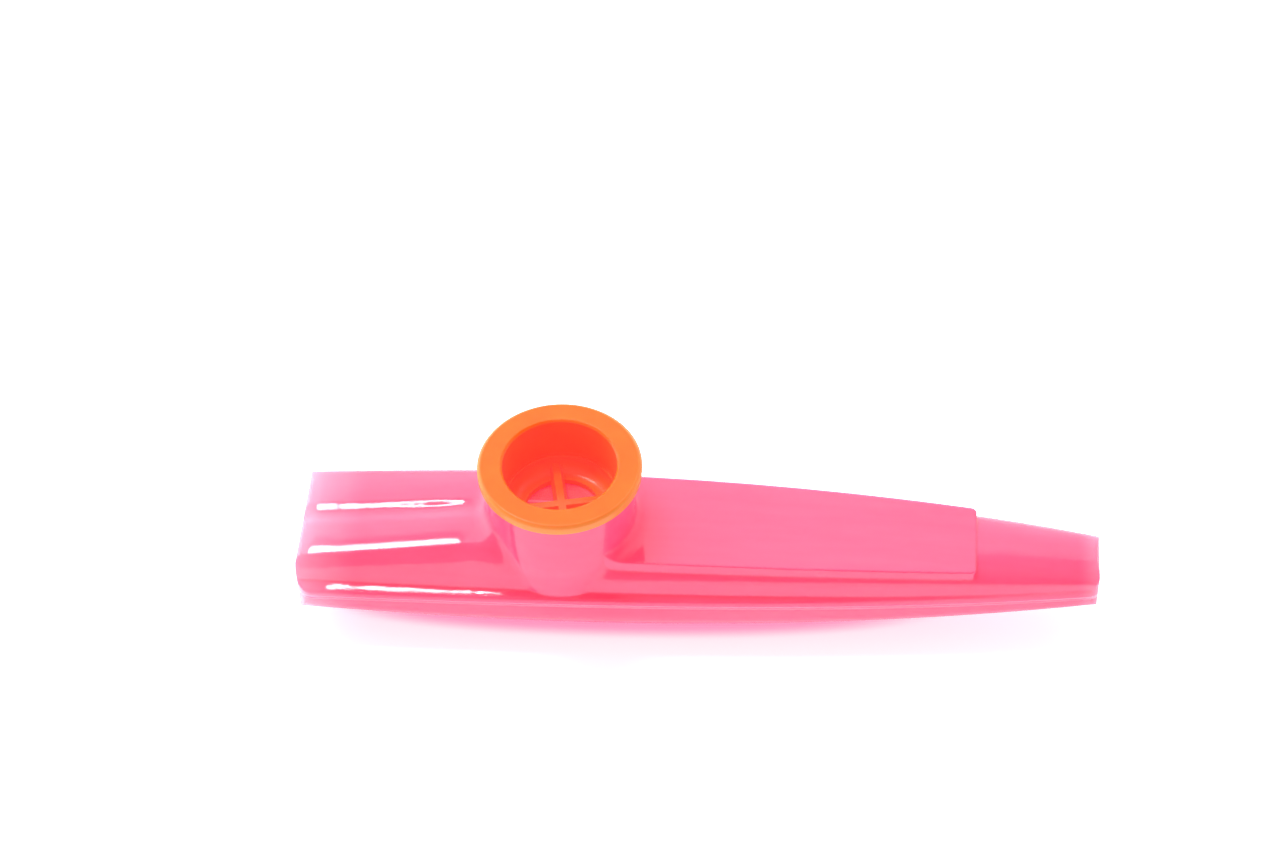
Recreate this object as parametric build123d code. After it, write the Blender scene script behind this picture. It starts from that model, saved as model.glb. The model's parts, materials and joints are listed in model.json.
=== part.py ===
from build123d import *
import math
import os

# Moulded plastic kazoo, lying on its keel. X runs from the mouthpiece to the exit, Z is up.
# The two body halves meet on a level parting plane; the cap pushes down into the turret and
# clamps the film on its seat. Heights of the upper half are given above the parting plane.

# Stations along the body
length = 120.0
turret_from_mouth = 39.5
pad_end_from_exit = 18.5

# Half-width of the rim on the parting plane, at mouth, turret, pad end and exit
rim_at_mouth = 11.8
rim_at_turret = 11.2
rim_at_pad_end = 7.3
rim_at_exit = 4.9

# How far the rim stands out from the flank above it, at the same stations
rim_step_at_mouth = 1.2
rim_step_at_turret = 0.9
rim_step_at_pad_end = 0.2
rim_step_at_exit = 0.05
rim_side = 0.8
rim_blend = 1.5
rim_bite = 0.4
parting_edge_break = 0.2

# How far the flank leans in for each millimetre of height, at the same stations
lean_at_mouth = 0.25
lean_at_turret = 0.15
lean_at_pad_end = 0.1
lean_at_exit = 0.05

# Height where the flank turns into the rounded shoulder, and how full the shoulder is
spring_at_mouth = 2.6
spring_at_turret = 3.6
spring_at_pad_end = 3.4
spring_at_exit = 2.5
shoulder_at_mouth = 0.5
shoulder_at_turret = 0.55
shoulder_at_pad_end = 0.6
shoulder_at_exit = 0.5

# Roof of the upper half. Along the mouthpiece it climbs straight up to the neck at the
# turret's wall; under the turret it eases down to the roof of the rear part.
roof_at_mouth = 5.4
roof_at_neck = 9.0
roof_at_turret = 6.3
roof_at_pad_end = 5.95
roof_at_exit = 4.3

# Half-width of the flat top. A shallow valley runs along its middle on the mouthpiece.
flat_at_mouth = 8.0
flat_at_turret = 6.0
flat_at_pad_end = 1.2
flat_at_exit = 0.4
valley_share = 0.32
valley_depth = 0.4

# Keel of the lower half, below the parting plane, with a narrow flat to stand on
keel_at_mouth = 6.15
keel_at_turret = 9.05
keel_at_pad_end = 5.8
keel_at_exit = 3.7
keel_fullness = 0.7
keel_flat = 0.3

# Moulding
body_wall = 1.4
mouth_corner = 2.5
exit_corner = 1.0
end_edge = 1.0

# Tongue on the lower half, groove in the upper half
tongue_width = 0.7
tongue_height = 0.8
tongue_inset = 0.55
tongue_end_margin = 7.0
bond_clearance = 0.05

# Turret
turret_radius = 10.9
turret_wall = 1.4
turret_height = 17.75
turret_blend = 3.0
turret_edge_break = 0.3
film_seat_height = 8.3
film_seat_width = 2.6

# Label pad: a bare raised panel between the turret and the exit tube
pad_half_width_at_turret = 8.4
pad_half_width_at_middle = 7.8
pad_half_width_at_end = 6.25
pad_height_at_turret = 7.5
pad_height_at_middle = 7.05
pad_height_at_end = 6.1
pad_corner = 0.9
pad_blend = 2.4
pad_blend_bite = 0.15

# Film
film_thickness = 0.12
film_margin = 0.3

# Cap, built up from the film
cap_clearance = 0.05
cap_floor = 0.9
dish_depth = 2.4
hole_radius = 5.7
shelf_width = 0.25
sleeve_wall = 0.95
flange_overhang = 1.3
flange_thickness = 1.55
flange_gap = 0.2
flange_edge = 0.4
bore_edge = 0.3
flange_nick = 0.35
guard_top_width = 1.1
guard_base_width = 2.1
guard_height = 1.5
guard_below_shelf = 1.1
guard_turn = 12.0

mouth_x = -length / 2
turret_x = mouth_x + turret_from_mouth
neck_x = turret_x - turret_radius
exit_x = length / 2
pad_end_x = exit_x - pad_end_from_exit
stations = (mouth_x, turret_x, pad_end_x, exit_x)

seam_height = keel_at_turret - keel_flat
turret_bore = turret_radius - turret_wall
turret_base = Pos(turret_x, 0, seam_height)
upright = (Align.CENTER, Align.CENTER, Align.MIN)
overrun = 1.0

# Sections along a skin: the deck changes quickly at the neck and needs more of them
smooth_run = 13
deck_run = 31


def along(x, values):
    """Smooth curve through one value at each of the four stations."""
    total = 0.0
    for station, value in zip(stations, values):
        weight = 1.0
        for other in stations:
            if other != station:
                weight *= (x - other) / (station - other)
        total += value * weight
    return total


def rim_half_width(x):
    return along(x, (rim_at_mouth, rim_at_turret, rim_at_pad_end, rim_at_exit))


def flank_half_width(x):
    steps = (rim_step_at_mouth, rim_step_at_turret, rim_step_at_pad_end, rim_step_at_exit)
    return rim_half_width(x) - along(x, steps)


def flank_lean(x):
    return along(x, (lean_at_mouth, lean_at_turret, lean_at_pad_end, lean_at_exit))


def mouthpiece_fade(x):
    """1 along the mouthpiece, easing to 0 under the turret."""
    way = (x - neck_x + turret_blend) / (2 * turret_radius)
    way = min(max(way, 0.0), 1.0)
    return 1 - way * way * (3 - 2 * way)


def valley_fade(x):
    """1 at the mouth, holding on for most of the mouthpiece and gone at the neck."""
    way = (x - mouth_x) / (neck_x - mouth_x)
    return 1 - min(max(way, 0.0), 1.0) ** 4


def roof_height(x):
    rear = along(x, (roof_at_mouth, roof_at_turret, roof_at_pad_end, roof_at_exit))
    climb = (roof_at_neck - roof_at_mouth) / (neck_x - mouth_x)
    straight = roof_at_mouth + climb * (x - mouth_x)
    return rear + (straight - rear) * mouthpiece_fade(x)


def section_positions(start, end, count):
    return [start + (end - start) * i / (count - 1) for i in range(count)]


def closed_section(x, right_side):
    """Face across the body at x. right_side lists runs of (y, z) points, where two points make
    a line and four a Bezier curve. The left side is its mirror image."""
    edges = []
    for side in (1, -1):
        for run in right_side:
            points = [(x, side * y, seam_height + z) for y, z in run]
            edges.append(Line(*points) if len(points) == 2 else Bezier(*points))
    y, z = right_side[0][0]
    edges.append(Line((x, y, seam_height + z), (x, -y, seam_height + z)))
    return Face(Wire(edges))


def deck_section(x, wall=0.0):
    """Roof, shoulders and leaning flanks of the upper half, inside the outer skin by wall."""
    base = flank_half_width(x) - wall
    lean = flank_lean(x)
    top = roof_height(x) - wall
    spring = along(x, (spring_at_mouth, spring_at_turret, spring_at_pad_end, spring_at_exit))
    fullness = along(x, (shoulder_at_mouth, shoulder_at_turret, shoulder_at_pad_end, shoulder_at_exit))
    flat = along(x, (flat_at_mouth, flat_at_turret, flat_at_pad_end, flat_at_exit))
    flat *= base / (base + wall)
    crest = valley_share * flat
    valley = top - valley_depth * valley_fade(x)
    rise = spring + fullness * (top - spring)
    reach = flat + fullness * (base - lean * top - flat)
    flank = [(base, 0.0), (base - lean * spring, spring)]
    shoulder = [(base - lean * spring, spring), (base - lean * rise, rise), (reach, top), (flat, top)]
    level = [(flat, top), (crest, top)]
    hollow = [(crest, top), (crest / 2, top), (crest / 2, valley), (0.0, valley)]
    return closed_section(x, [flank, shoulder, level, hollow])


def rim_section(x):
    """Rim along the parting plane. Its upper side sweeps in until it enters the flank."""
    rim = rim_half_width(x)
    top = rim_side + rim_blend
    middle = rim_side + rim_blend / 2
    flank = flank_half_width(x) - flank_lean(x) * middle
    inside = flank - rim_bite
    edge_break = [(rim - parting_edge_break, 0.0), (rim, parting_edge_break)]
    side = [(rim, parting_edge_break), (rim, rim_side)]
    blend = [(rim, rim_side), (rim, middle), (flank, middle), (inside, top)]
    lid = [(inside, top), (0.0, top)]
    return closed_section(x, [edge_break, side, blend, lid])


def hull_section(x, wall=0.0):
    """Boat-shaped lower half; with a wall, the hollow inside it."""
    half_width = flank_half_width(x) - wall if wall else rim_half_width(x)
    edge_break = 0.0 if wall else parting_edge_break
    bottom = wall - along(x, (keel_at_mouth, keel_at_turret, keel_at_pad_end, keel_at_exit))
    spring = -parting_edge_break
    drop = spring + keel_fullness * (bottom - spring)
    side = [(half_width - edge_break, 0.0), (half_width, spring)]
    bilge = [(half_width, spring), (half_width, drop), (keel_fullness * half_width, bottom), (0.0, bottom)]
    return closed_section(x, [side, bilge])


def lofted(section, start, end, count=smooth_run, **options):
    return loft([section(x, **options) for x in section_positions(start, end, count)])


def parting_strips(inset, width, height):
    """Upright strips that follow the rim on both sides of the body."""
    positions = section_positions(mouth_x + tongue_end_margin, exit_x - tongue_end_margin, smooth_run)
    outer = [(x, rim_half_width(x) - inset) for x in positions]
    inner = [(x, y - width) for x, y in outer]
    sides = [Spline(*outer), Line(outer[-1], inner[-1]), Spline(*inner), Line(inner[0], outer[0])]
    strip = extrude(Pos(0, 0, seam_height) * make_face(sides), height)
    return strip + mirror(strip, Plane.XZ)


def plan_corners(x, inward, half_width, radius, height):
    """Upright cutters that round both corners of the end at x in plan. inward is the sign of
    the way into the body."""
    reach = radius + overrun
    middle = Pos(x + inward * (radius - reach / 2), half_width - radius + reach / 2)
    corner = middle * Rectangle(reach, reach)
    corner -= Pos(x + inward * radius, half_width - radius) * Circle(radius)
    cutter = extrude(corner, height)
    return cutter + mirror(cutter, Plane.XZ)


def end_corners(height):
    mouth = plan_corners(mouth_x, 1, rim_at_mouth, mouth_corner, height)
    return mouth + plan_corners(exit_x, -1, rim_at_exit, exit_corner, height)


def end_round(x, inward, z, up):
    """Cutter that rounds the edge between an end face at x and the skin at height z.
    inward and up are the signs of the ways into the body and out through the skin."""
    bend = end_edge * (1 - math.sqrt(0.5))
    low = (x, 0, z - up * end_edge)
    middle = (x + inward * bend, 0, z - up * bend)
    high = (x + inward * end_edge, 0, z)
    outside = Polyline(
        high,
        (x + inward * end_edge, 0, z + up * overrun),
        (x - inward * overrun, 0, z + up * overrun),
        (x - inward * overrun, 0, z - up * end_edge),
        low,
    )
    face = make_face([ThreePointArc(low, middle, high), *outside.edges()])
    return extrude(face, 2 * rim_at_mouth, both=True)


def label_pad():
    """Raised panel: it narrows towards the exit, its top sweeps gently down, and at the
    turret it sweeps up the wall."""
    toe = turret_radius + pad_blend - pad_blend_bite
    toe_x = turret_x + toe
    middle_x = (toe_x + pad_end_x) / 2
    side = ThreePointArc(
        (turret_x, -pad_half_width_at_turret),
        (middle_x, -pad_half_width_at_middle),
        (pad_end_x, -pad_half_width_at_end),
    )
    ends = [Line((x, -y), (x, y)) for x, y in ((turret_x, pad_half_width_at_turret),
                                               (pad_end_x, pad_half_width_at_end))]
    plan = make_face([side, mirror(side, Plane.XZ), *ends])
    plan = fillet(plan.vertices().group_by(Axis.X)[-1], pad_corner)
    prism = extrude(plan, seam_height + turret_height)

    base_z = seam_height + rim_side + rim_blend
    turret_z = seam_height + pad_height_at_turret
    end_z = seam_height + pad_height_at_end
    sweep = ThreePointArc(
        (toe_x, 0, turret_z), (middle_x, 0, seam_height + pad_height_at_middle), (pad_end_x, 0, end_z)
    )
    outline = Polyline(
        (pad_end_x, 0, end_z), (pad_end_x, 0, base_z), (turret_x, 0, base_z),
        (turret_x, 0, turret_z), (toe_x, 0, turret_z),
    )
    slab = extrude(make_face([sweep, *outline.edges()]), 2 * pad_half_width_at_turret, both=True)

    flare = Cylinder(toe, pad_blend, align=upright) - Pos(0, 0, pad_blend) * Torus(toe, pad_blend)
    flare = turret_base * Pos(0, 0, pad_height_at_turret) * flare
    return prism & (slab + flare)


def upper_body():
    body = lofted(deck_section, mouth_x, exit_x, deck_run)
    body += turret_base * Rot(0, 0, 180) * Cylinder(turret_radius, turret_height, align=upright)
    foot = body.faces().filter_by(GeomType.CYLINDER).edges().filter_by(GeomType.BSPLINE)
    body = fillet(foot, turret_blend)
    body += label_pad()
    body += lofted(rim_section, mouth_x, exit_x)

    body -= end_corners(seam_height + turret_height)
    body -= end_round(mouth_x, 1, seam_height + roof_height(mouth_x + end_edge), 1)
    body -= end_round(exit_x, -1, seam_height + roof_height(exit_x - end_edge), 1)

    body -= lofted(deck_section, mouth_x - overrun, exit_x + overrun, deck_run, wall=body_wall)
    body -= turret_base * Pos(0, 0, film_seat_height) * Cylinder(turret_bore, turret_height, align=upright)
    body -= turret_base * Cylinder(turret_bore - film_seat_width, turret_height, align=upright)
    body = chamfer(body.edges().group_by(Axis.Z)[-1], turret_edge_break)
    body -= parting_strips(
        tongue_inset - bond_clearance, tongue_width + 2 * bond_clearance, tongue_height + bond_clearance
    )
    return body


def lower_body():
    body = split(lofted(hull_section, mouth_x, exit_x), Plane.XY)
    body -= end_corners(seam_height)
    body -= end_round(mouth_x, 1, seam_height - keel_at_mouth, -1)
    body -= end_round(exit_x, -1, seam_height - keel_at_exit, -1)
    body -= lofted(hull_section, mouth_x - overrun, exit_x + overrun, wall=body_wall)
    return body + parting_strips(tongue_inset, tongue_width, tongue_height)


def buzz_film():
    disc = Cylinder(turret_bore - film_margin, film_thickness, align=upright)
    return turret_base * Pos(0, 0, film_seat_height) * disc


def turret_cap():
    """Flange, sleeve and bore in one turning; the floor is dished down to a round hole that a
    cross of two tapered bars guards."""
    underside = turret_height + flange_gap
    top = underside + flange_thickness
    foot = film_seat_height + film_thickness
    flange = turret_radius + flange_overhang
    sleeve = turret_bore - cap_clearance
    bore = sleeve - sleeve_wall
    throat = foot + cap_floor
    shelf = throat + dish_depth
    lip = bore - shelf_width
    outline = Polyline(
        (hole_radius, 0, throat), (hole_radius, 0, foot), (sleeve, 0, foot), (sleeve, 0, underside),
        (flange, 0, underside), (flange, 0, top - flange_edge), (flange - flange_edge, 0, top),
        (bore + bore_edge, 0, top), (bore, 0, top - bore_edge), (bore, 0, shelf), (lip, 0, shelf),
    )
    dish = Bezier((lip, 0, shelf), (lip, 0, throat), (hole_radius, 0, throat))
    cap = revolve(make_face([*outline.edges(), dish]), Axis.Z)

    guard_top = shelf - guard_below_shelf
    guard_base = guard_top - guard_height
    bar_section = Polyline(
        (0, -guard_base_width / 2, guard_base), (0, guard_base_width / 2, guard_base),
        (0, guard_top_width / 2, guard_top), (0, -guard_top_width / 2, guard_top), close=True,
    )
    bar = extrude(make_face(bar_section), (bore + sleeve) / 2, both=True)
    for quarter in (0, 90):
        cap += Rot(0, 0, guard_turn + quarter) * bar
    nick = Cylinder(flange_nick, flange_thickness - flange_edge, align=upright)
    for side in (-1, 1):
        cap -= Pos(side * flange, 0, underside) * nick
    return turret_base * cap


os.makedirs("parts", exist_ok=True)
for piece in (upper_body, lower_body, turret_cap, buzz_film):
    export_step(piece(), f"parts/{piece.__name__}.step")
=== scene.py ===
import json
import math

import bpy
from mathutils import Matrix, Vector


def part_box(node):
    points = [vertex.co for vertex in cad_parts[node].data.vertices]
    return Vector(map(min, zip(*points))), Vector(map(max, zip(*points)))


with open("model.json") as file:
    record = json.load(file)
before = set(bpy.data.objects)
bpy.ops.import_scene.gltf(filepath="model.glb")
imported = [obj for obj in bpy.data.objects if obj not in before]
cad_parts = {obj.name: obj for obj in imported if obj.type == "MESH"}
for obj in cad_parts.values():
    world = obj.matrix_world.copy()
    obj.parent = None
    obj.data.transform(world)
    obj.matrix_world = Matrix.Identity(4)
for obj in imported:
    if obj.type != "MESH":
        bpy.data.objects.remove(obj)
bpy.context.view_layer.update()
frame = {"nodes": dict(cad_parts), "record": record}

# Body: two hollow halves, injection moulded in hot pink polystyrene and bonded along the parting
# line. The moulds are polished, so the skin mirrors the room, and the pigment lets light in a
# little way. A painted red glow, emitted by the plastic itself, keeps the shaded sides warm.

mm = 0.001
body_low, body_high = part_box("upper_body")
mouth_end = body_low.x
exit_end = body_high.x
seam_height = body_low.z

# Nearly all values of a noise texture lie between these two.
noise_low, noise_high = 0.3, 0.7


def linear(hex_colour):
    """sRGB hex colour as linear RGBA."""
    channels = [int(hex_colour[i:i + 2], 16) / 255 for i in (1, 3, 5)]
    return (*[c / 12.92 if c <= 0.04045 else ((c + 0.055) / 1.055) ** 2.4 for c in channels], 1.0)


def add_node(tree, kind, sockets, **settings):
    """Adds a node. A socket is linked where its value is another node's output, and set otherwise."""
    node = tree.nodes.new(kind)
    for name, value in settings.items():
        setattr(node, name, value)
    for name, value in sockets.items():
        if isinstance(value, bpy.types.NodeSocket):
            tree.links.new(value, node.inputs[name])
        else:
            node.inputs[name].default_value = value
    return node


def empty_material(name):
    material = bpy.data.materials.new(name)
    material.use_nodes = True
    material.node_tree.nodes.clear()
    return material


def dress(node_name, material):
    """Gives a carried-over CAD node its finish."""
    slots = frame["nodes"][node_name].data.materials
    slots.clear()
    slots.append(material)


def moulded_relief(tree, x, y, z):
    """Height, in metres, of forms too slight for the outline: the crown of the two flutes, the trough
    between them, the rolled lip of the mouth and the sharp inside corner along the rim. Each arc of
    the crown is given by where it starts, out from the centre line, and by its radius, which is
    negative where the arc is hollow."""
    flutes_end = mouth_end + 24 * mm
    neck = mouth_end + 30 * mm
    crown_arcs = (
        (2.6 * mm, 16.12 * mm),
        (5.5 * mm, 30 * mm),
        (7.3 * mm, -5 * mm),
        (8.5 * mm, math.inf),
    )
    widening_at_mouth = 1.0 * mm
    trough_depth = 0.16 * mm
    trough_half_width = 2.3 * mm
    trough_start = mouth_end + 13 * mm
    trough_full = mouth_end + 22 * mm
    lip_width = 2.6 * mm
    lip_radius = 6 * mm
    corner_depth = 0.44 * mm
    corner_bottom = seam_height + 1.05 * mm
    corner_top = seam_height + 2.05 * mm
    corner_full = mouth_end + 6 * mm
    corner_fading = mouth_end + 65 * mm
    corner_gone = mouth_end + 90 * mm

    aside = add_node(tree, "ShaderNodeMath", {0: y}, operation="ABSOLUTE").outputs["Value"]
    widening = add_node(tree, "ShaderNodeMapRange", {
        "Value": x,
        "From Min": mouth_end, "From Max": flutes_end,
        "To Min": widening_at_mouth, "To Max": 0.0,
    }).outputs["Result"]
    across = add_node(
        tree, "ShaderNodeMath", {0: aside, 1: widening}, operation="SUBTRACT"
    ).outputs["Value"]
    crown = 0.0
    curvature = 0.0
    for start, radius in crown_arcs:
        out = add_node(
            tree, "ShaderNodeMath", {0: across, 1: start}, operation="SUBTRACT"
        ).outputs["Value"]
        out = add_node(tree, "ShaderNodeMath", {0: out, 1: 0.0}, operation="MAXIMUM").outputs["Value"]
        fall = add_node(tree, "ShaderNodeMath", {0: out, 1: 2.0}, operation="POWER").outputs["Value"]
        crown = add_node(tree, "ShaderNodeMath", {
            0: fall, 1: 1 / radius - curvature, 2: crown,
        }, operation="MULTIPLY_ADD").outputs["Value"]
        curvature = 1 / radius
    trough = add_node(tree, "ShaderNodeMapRange", {
        "Value": aside, "From Min": 0.0, "From Max": trough_half_width, "To Min": 1.0, "To Max": 0.0,
    }, interpolation_type="SMOOTHSTEP").outputs["Result"]
    lip = add_node(
        tree, "ShaderNodeMath", {0: mouth_end + lip_width, 1: x}, operation="SUBTRACT"
    ).outputs["Value"]
    lip = add_node(tree, "ShaderNodeMath", {0: lip, 1: 0.0}, operation="MAXIMUM").outputs["Value"]
    lip = add_node(tree, "ShaderNodeMath", {0: lip, 1: 2.0}, operation="POWER").outputs["Value"]
    corner = add_node(tree, "ShaderNodeMapRange", {
        "Value": z, "From Min": corner_bottom, "From Max": corner_top,
    }, interpolation_type="SMOOTHSTEP").outputs["Result"]

    relief = 0.0
    for height, scale, fades in (
        (crown, -1 / 2, [(flutes_end, neck, 1, 0)]),
        (trough, -trough_depth, [(trough_start, trough_full, 0, 1), (flutes_end, neck, 1, 0)]),
        (lip, -1 / (2 * lip_radius), []),
        (corner, -corner_depth, [(mouth_end, corner_full, 0, 1), (corner_fading, corner_gone, 1, 0)]),
    ):
        for start, end, before, after in fades:
            share = add_node(tree, "ShaderNodeMapRange", {
                "Value": x, "From Min": start, "From Max": end, "To Min": before, "To Max": after,
            }, interpolation_type="SMOOTHSTEP").outputs["Result"]
            height = add_node(
                tree, "ShaderNodeMath", {0: height, 1: share}, operation="MULTIPLY"
            ).outputs["Value"]
        relief = add_node(
            tree, "ShaderNodeMath", {0: height, 1: scale, 2: relief}, operation="MULTIPLY_ADD"
        ).outputs["Value"]
    return relief


def hot_pink_polystyrene():
    """Polished moulding: faint streaks where the melt flowed from mouth to exit, a slight orange
    peel in the reflections, a painted red glow that stands in for light scattered inside the wall,
    and painted light that makes the two ends paler and a painted highlight along the seam."""
    flow_length = 26 * mm
    flow_width = 4 * mm
    peel_width = 2.2 * mm
    peel_depth = 0.004 * mm
    haze_width = 6 * mm
    edge_radius = 0.55 * mm
    roughness_least, roughness_most = 0.05, 0.09
    # Painted light: the plastic emits a red glow that keeps its shaded sides lit.
    painted_glow_level = 0.35
    # Painted highlight: a pale line along the seam, where the rim's edge catches light.
    seam_highlight_full = 0.15 * mm
    seam_highlight_gone = 0.45 * mm
    seam_highlight_share = 0.38
    # Painted light: base colour and glow turn paler towards both open ends, as if light came through the
    # thin wall there.
    painted_light_at_ends = (
        (mouth_end - 3 * mm, mouth_end + 10 * mm, 0.46, 0.0),
        (exit_end - 3.5 * mm, exit_end + 0.5 * mm, 0.0, 0.22),
    )

    material = empty_material("hot_pink_polystyrene_polished")
    tree = material.node_tree
    place = add_node(tree, "ShaderNodeTexCoord", {}).outputs["Object"]
    axes = add_node(tree, "ShaderNodeSeparateXYZ", {"Vector": place}).outputs
    along_flow = add_node(tree, "ShaderNodeMapping", {
        "Vector": place,
        "Scale": (1 / flow_length, 1 / flow_width, 1 / flow_width),
    }).outputs["Vector"]
    streaks = add_node(tree, "ShaderNodeTexNoise", {
        "Vector": along_flow, "Scale": 1.0, "Detail": 3.0, "Roughness": 0.55,
    }).outputs["Fac"]
    colour = add_node(tree, "ShaderNodeValToRGB", {"Fac": streaks})
    colour.color_ramp.elements[0].position = noise_low
    colour.color_ramp.elements[0].color = linear("#FF5A88")
    colour.color_ramp.elements[1].position = noise_high
    colour.color_ramp.elements[1].color = linear("#FF638E")
    painted_light_share = 0.0
    for start, end, before, after in painted_light_at_ends:
        share = add_node(tree, "ShaderNodeMapRange", {
            "Value": axes["X"], "From Min": start, "From Max": end, "To Min": before, "To Max": after,
        }, interpolation_type="SMOOTHSTEP").outputs["Result"]
        painted_light_share = add_node(
            tree, "ShaderNodeMath", {0: share, 1: painted_light_share}, operation="ADD"
        ).outputs["Value"]
    off_seam = add_node(
        tree, "ShaderNodeMath", {0: axes["Z"], 1: seam_height}, operation="SUBTRACT"
    ).outputs["Value"]
    off_seam = add_node(tree, "ShaderNodeMath", {0: off_seam}, operation="ABSOLUTE").outputs["Value"]
    painted_seam_highlight = add_node(tree, "ShaderNodeMapRange", {
        "Value": off_seam,
        "From Min": seam_highlight_full, "From Max": seam_highlight_gone,
        "To Min": seam_highlight_share, "To Max": 0.0,
    }, interpolation_type="SMOOTHSTEP").outputs["Result"]
    painted_light_share = add_node(
        tree, "ShaderNodeMath", {0: painted_seam_highlight, 1: painted_light_share}, operation="ADD"
    ).outputs["Value"]
    # Flow streaks, with painted light mixed in at the ends and along the seam.
    wall_with_painted_light = add_node(tree, "ShaderNodeMix", {
        0: painted_light_share, 6: colour.outputs["Color"], 7: linear("#FFC8E4"),
    }, data_type="RGBA").outputs[2]
    # Painted light: the colour of the emitted glow, red, and paler at the ends and along the seam.
    glow_with_painted_light = add_node(tree, "ShaderNodeMix", {
        0: painted_light_share, 6: linear("#FF2A50"), 7: linear("#FFBCE0"),
    }, data_type="RGBA").outputs[2]

    haze = add_node(tree, "ShaderNodeTexNoise", {
        "Vector": place, "Scale": 1 / haze_width, "Detail": 4.0,
    }).outputs["Fac"]
    roughness = add_node(tree, "ShaderNodeMapRange", {
        "Value": haze,
        "From Min": noise_low, "From Max": noise_high,
        "To Min": roughness_least, "To Max": roughness_most,
    }).outputs["Result"]
    peel = add_node(tree, "ShaderNodeTexNoise", {
        "Vector": place, "Scale": 1 / peel_width, "Detail": 1.0,
    }).outputs["Fac"]
    forms = moulded_relief(tree, axes["X"], axes["Y"], axes["Z"])
    height = add_node(
        tree, "ShaderNodeMath", {0: peel, 1: peel_depth, 2: forms}, operation="MULTIPLY_ADD"
    ).outputs["Value"]
    edges = add_node(tree, "ShaderNodeBevel", {"Radius": edge_radius}, samples=6).outputs["Normal"]
    skin = add_node(tree, "ShaderNodeBump", {
        "Height": height, "Strength": 1.0, "Distance": 1.0, "Normal": edges,
    }).outputs["Normal"]
    plastic = add_node(tree, "ShaderNodeBsdfPrincipled", {
        "Base Color": wall_with_painted_light,
        "Roughness": roughness,
        "Normal": skin,
        "IOR": 1.57,
        "Subsurface Weight": 0.5,
        "Subsurface Radius": (1.0, 0.22, 0.35),
        "Subsurface Scale": 4 * mm,
        "Emission Color": glow_with_painted_light,
        "Emission Strength": painted_glow_level,
    })
    add_node(tree, "ShaderNodeOutputMaterial", {"Surface": plastic.outputs["BSDF"]})
    return material


pink = hot_pink_polystyrene()
dress("lower_body", pink)
dress("upper_body", pink)

# Film: a thin disc of clear plastic film, cut from sheet and clamped on its seat by the cap. It is
# the voice of the kazoo, and the pink floor of the body shows through it.


def clear_film():
    """Slack film: nearly all light goes through, with a soft glint where it ripples."""
    ripple_width = 5 * mm
    ripple_depth = 0.05 * mm
    milkiness_least, milkiness_most = 0.08, 0.16

    material = empty_material("clear_film_slack")
    tree = material.node_tree
    place = add_node(tree, "ShaderNodeTexCoord", {}).outputs["Object"]
    ripple = add_node(tree, "ShaderNodeTexNoise", {
        "Vector": place, "Scale": 1 / ripple_width, "Detail": 1.0,
    }).outputs["Fac"]
    slack = add_node(tree, "ShaderNodeBump", {
        "Height": ripple, "Strength": 1.0, "Distance": ripple_depth,
    }).outputs["Normal"]
    milkiness = add_node(tree, "ShaderNodeMapRange", {
        "Value": ripple,
        "From Min": noise_low, "From Max": noise_high,
        "To Min": milkiness_least, "To Max": milkiness_most,
    }).outputs["Result"]
    film = add_node(tree, "ShaderNodeBsdfPrincipled", {
        "Base Color": linear("#F4EEF0"),
        "Roughness": 0.12,
        "IOR": 1.4,
        "Alpha": milkiness,
        "Normal": slack,
    })
    add_node(tree, "ShaderNodeOutputMaterial", {"Surface": film.outputs["BSDF"]})
    return material


dress("buzz_film", clear_film())

# Cap: one orange polypropylene moulding, pushed into the turret by hand. Its flange has a satin
# top from the mould. A painted glow, red inside the bore where light bounces, covers the cap.

cap_bore = next(mount for mount in frame["record"]["mounts"] if mount["name"] == "cap_bore")
bore_radius = cap_bore["dims"]["r_mm"] * mm
flange_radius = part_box("turret_cap")[1].y


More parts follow.
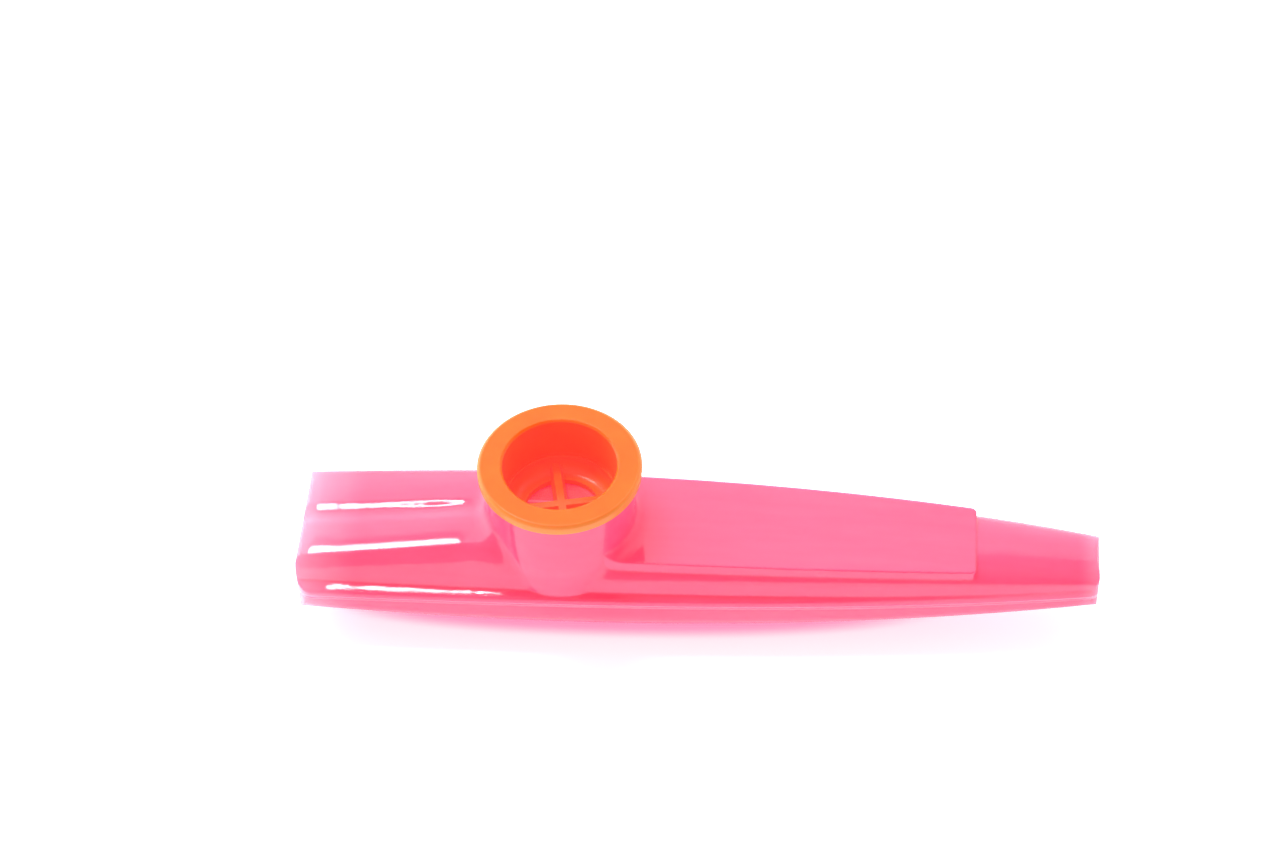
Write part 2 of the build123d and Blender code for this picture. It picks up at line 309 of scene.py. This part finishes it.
def orange_polypropylene():
    """Satin moulding: fine grain that softens the sheen, slightly uneven pigment, a painted paler
    edge on the flange, and a painted glow, red inside the bore for the light that bounces there."""
    # Painted light: the outer edge of the flange is made paler, where light from the front catches it.
    rim_light_start = flange_radius - 0.7 * mm
    rim_light_full = flange_radius - 0.1 * mm
    bore_start = bore_radius - 0.05 * mm
    bore_gone = bore_radius + 0.25 * mm
    rim_light_share = 0.5
    painted_glow_outside = 0.1
    painted_glow_in_bore = 0.35
    grain_width = 0.35 * mm
    grain_depth = 0.0015 * mm
    roughness_least, roughness_most = 0.17, 0.23
    edge_radius = 0.3 * mm
    mottle_width = 5 * mm

    material = empty_material("orange_polypropylene_satin")
    tree = material.node_tree
    place = add_node(tree, "ShaderNodeTexCoord", {}).outputs["Object"]
    mottle = add_node(tree, "ShaderNodeTexNoise", {
        "Vector": place, "Scale": 1 / mottle_width, "Detail": 4.0,
    }).outputs["Fac"]
    colour = add_node(tree, "ShaderNodeValToRGB", {"Fac": mottle})
    colour.color_ramp.elements[0].position = noise_low
    colour.color_ramp.elements[0].color = linear("#FF7012")
    colour.color_ramp.elements[1].position = noise_high
    colour.color_ramp.elements[1].color = linear("#FF7816")
    from_axis = add_node(tree, "ShaderNodeVectorMath", {
        0: place, 1: cap_bore["pos_m"],
    }, operation="SUBTRACT").outputs["Vector"]
    from_axis = add_node(tree, "ShaderNodeVectorMath", {
        0: from_axis, 1: (1, 1, 0),
    }, operation="MULTIPLY").outputs["Vector"]
    radius = add_node(tree, "ShaderNodeVectorMath", {0: from_axis}, operation="LENGTH").outputs["Value"]
    # Painted light on the flange's outer edge.
    painted_rim_light = add_node(tree, "ShaderNodeMapRange", {
        "Value": radius,
        "From Min": rim_light_start, "From Max": rim_light_full,
        "To Min": 0.0, "To Max": rim_light_share,
    }).outputs["Result"]
    pigment_and_painted_rim_light = add_node(tree, "ShaderNodeMix", {
        0: painted_rim_light, 6: colour.outputs["Color"], 7: linear("#FFB868"),
    }, data_type="RGBA").outputs[2]
    inside = add_node(tree, "ShaderNodeMapRange", {
        "Value": radius, "From Min": bore_start, "From Max": bore_gone, "To Min": 1.0, "To Max": 0.0,
    }).outputs["Result"]
    # Painted light: the cap emits a glow, red inside the bore and weaker elsewhere.
    glow_with_painted_light = add_node(tree, "ShaderNodeMix", {
        0: inside, 6: linear("#FF3010"), 7: linear("#FF4B53"),
    }, data_type="RGBA").outputs[2]
    painted_glow_level = add_node(tree, "ShaderNodeMapRange", {
        "Value": inside, "To Min": painted_glow_outside, "To Max": painted_glow_in_bore,
    }).outputs["Result"]
    grain = add_node(tree, "ShaderNodeTexNoise", {
        "Vector": place, "Scale": 1 / grain_width, "Detail": 2.0,
    }).outputs["Fac"]
    roughness = add_node(tree, "ShaderNodeMapRange", {
        "Value": grain,
        "From Min": noise_low, "From Max": noise_high,
        "To Min": roughness_least, "To Max": roughness_most,
    }).outputs["Result"]
    edges = add_node(tree, "ShaderNodeBevel", {"Radius": edge_radius}, samples=6).outputs["Normal"]
    face = add_node(tree, "ShaderNodeNewGeometry", {}).outputs["Normal"]
    edges = add_node(tree, "ShaderNodeMix", {0: inside, 4: edges, 5: face}, data_type="VECTOR").outputs[1]
    skin = add_node(tree, "ShaderNodeBump", {
        "Height": grain, "Strength": 1.0, "Distance": grain_depth, "Normal": edges,
    }).outputs["Normal"]
    plastic = add_node(tree, "ShaderNodeBsdfPrincipled", {
        "Base Color": pigment_and_painted_rim_light,
        "Roughness": roughness,
        "Normal": skin,
        "IOR": 1.49,
        "Specular IOR Level": 0.32,
        "Subsurface Weight": 0.35,
        "Subsurface Radius": (1.0, 0.3, 0.1),
        "Subsurface Scale": 2.5 * mm,
        "Emission Color": glow_with_painted_light,
        "Emission Strength": painted_glow_level,
    })
    add_node(tree, "ShaderNodeOutputMaterial", {"Surface": plastic.outputs["BSDF"]})
    return material


dress("turret_cap", orange_polypropylene())

# Table: a sheet of white acrylic, lit from below and larger than the view. It is white to its
# edges and keeps the soft shadow of the kazoo; where they nearly touch, its glow carries a
# painted pink shade for the contact shadow and the light bounced from the kazoo.

table_half_width = 1.5
table_glow = 0.6
contact_shade_reach = 3 * mm
painted_shade_full, painted_shade_gone = 0.4, 0.8
table = bpy.data.meshes.new("white_table")
corner_signs = ((-1, -1), (1, -1), (1, 1), (-1, 1))
corners = [(x * table_half_width, y * table_half_width, 0) for x, y in corner_signs]
table.from_pydata(corners, [], [(0, 1, 2, 3)])
table_object = bpy.data.objects.new("white_table", table)
bpy.context.scene.collection.objects.link(table_object)

acrylic = empty_material("white_acrylic_lit")
tree = acrylic.node_tree
matt = add_node(tree, "ShaderNodeBsdfDiffuse", {"Color": linear("#FAFAFA")}).outputs["BSDF"]
# Painted shadow: the table's glow turns pink where the kazoo closes it in.
painted_shade_openness = add_node(
    tree, "ShaderNodeAmbientOcclusion", {"Distance": contact_shade_reach}, samples=16
).outputs["AO"]
painted_contact_shade = add_node(tree, "ShaderNodeValToRGB", {"Fac": painted_shade_openness})
painted_contact_shade.color_ramp.elements[0].position = painted_shade_full
painted_contact_shade.color_ramp.elements[0].color = linear("#FF96BE")
painted_contact_shade.color_ramp.elements[1].position = painted_shade_gone
painted_contact_shade.color_ramp.elements[1].color = linear("#FFFFFF")
glow_with_painted_light = add_node(
    tree, "ShaderNodeEmission", {"Color": painted_contact_shade.outputs["Color"], "Strength": table_glow}
).outputs["Emission"]
surface = add_node(tree, "ShaderNodeAddShader", {0: matt, 1: glow_with_painted_light}).outputs["Shader"]
add_node(tree, "ShaderNodeOutputMaterial", {"Surface": surface})
table.materials.append(acrylic)

# Light: a room that is bright behind the table and dimmer in front, overhead and to the right, and
# one long soft lamp overhead, which draws the white strips along the mouthpiece.

front_level = 0.33
back_level = 1.7
ceiling_level = 0.6
left_share = 1.45
right_share = 0.55
front_edge, back_edge = -0.1, 0.2
ceiling_edge, ceiling_full = 0.82, 0.87
side_reach = 0.8
world = bpy.data.worlds.new("bright_room")
world.use_nodes = True
world.node_tree.nodes.clear()
bpy.context.scene.world = world
tree = world.node_tree
towards = add_node(tree, "ShaderNodeTexCoord", {}).outputs["Generated"]
axes = add_node(tree, "ShaderNodeSeparateXYZ", {"Vector": towards})
walls = add_node(tree, "ShaderNodeMapRange", {
    "Value": axes.outputs["Y"],
    "From Min": front_edge, "From Max": back_edge,
    "To Min": front_level, "To Max": back_level,
}).outputs["Result"]
overhead = add_node(tree, "ShaderNodeMapRange", {
    "Value": axes.outputs["Z"], "From Min": ceiling_edge, "From Max": ceiling_full,
}).outputs["Result"]
room = add_node(tree, "ShaderNodeMix", {0: overhead, 2: walls, 3: ceiling_level}).outputs[0]
sideways = add_node(tree, "ShaderNodeMapRange", {
    "Value": axes.outputs["X"],
    "From Min": -side_reach, "From Max": side_reach,
    "To Min": left_share, "To Max": right_share,
}).outputs["Result"]
room = add_node(tree, "ShaderNodeMath", {0: room, 1: sideways}, operation="MULTIPLY").outputs["Value"]
backdrop = add_node(tree, "ShaderNodeBackground", {"Color": linear("#FFFFFF"), "Strength": room})
add_node(tree, "ShaderNodeOutputWorld", {"Surface": backdrop.outputs["Background"]})

lamp_length = 0.40
lamp_width = 0.10
lamp_watts = 2.6
lamp_place = (-0.23, 0.208, 0.83)
lamp_tilt = math.radians(-14)
lamp = bpy.data.lights.new("overhead_lamp", "AREA")
lamp.shape = "RECTANGLE"
lamp.size = lamp_length
lamp.size_y = lamp_width
lamp.energy = lamp_watts
lamp_object = bpy.data.objects.new("overhead_lamp", lamp)
bpy.context.scene.collection.objects.link(lamp_object)
lamp_object.location = lamp_place
lamp_object.rotation_euler = (lamp_tilt, 0, 0)

# Camera: above the front of the table, a little towards the exit end. Its place and lens were
# worked out from the two ellipses of the cap and from the length of the body.

image_width = 1280
focal_in_pixels = 3237.25
camera_elevation = math.radians(48.672)
camera_turn = math.radians(5.571)
camera_roll = math.radians(-1.696)
camera_distance = 0.46931
looked_at = Vector((-0.00841, 0, 0.03754))

camera = bpy.data.cameras.new("photo_camera")
camera.sensor_width = 36
camera.lens = focal_in_pixels / image_width * camera.sensor_width
camera_object = bpy.data.objects.new("photo_camera", camera)
bpy.context.scene.collection.objects.link(camera_object)
forward = Vector((
    -math.sin(camera_turn) * math.cos(camera_elevation),
    math.cos(camera_turn) * math.cos(camera_elevation),
    -math.sin(camera_elevation),
))
level_right = Vector((math.cos(camera_turn), math.sin(camera_turn), 0))
level_up = level_right.cross(forward)
right = level_right * math.cos(camera_roll) + level_up * math.sin(camera_roll)
up = level_up * math.cos(camera_roll) - level_right * math.sin(camera_roll)
camera_object.matrix_world = Matrix.Translation(looked_at - camera_distance * forward) @ Matrix(
    (right, up, -forward)
).transposed().to_4x4()
bpy.context.scene.camera = camera_object
bpy.context.scene.view_settings.view_transform = "Standard"
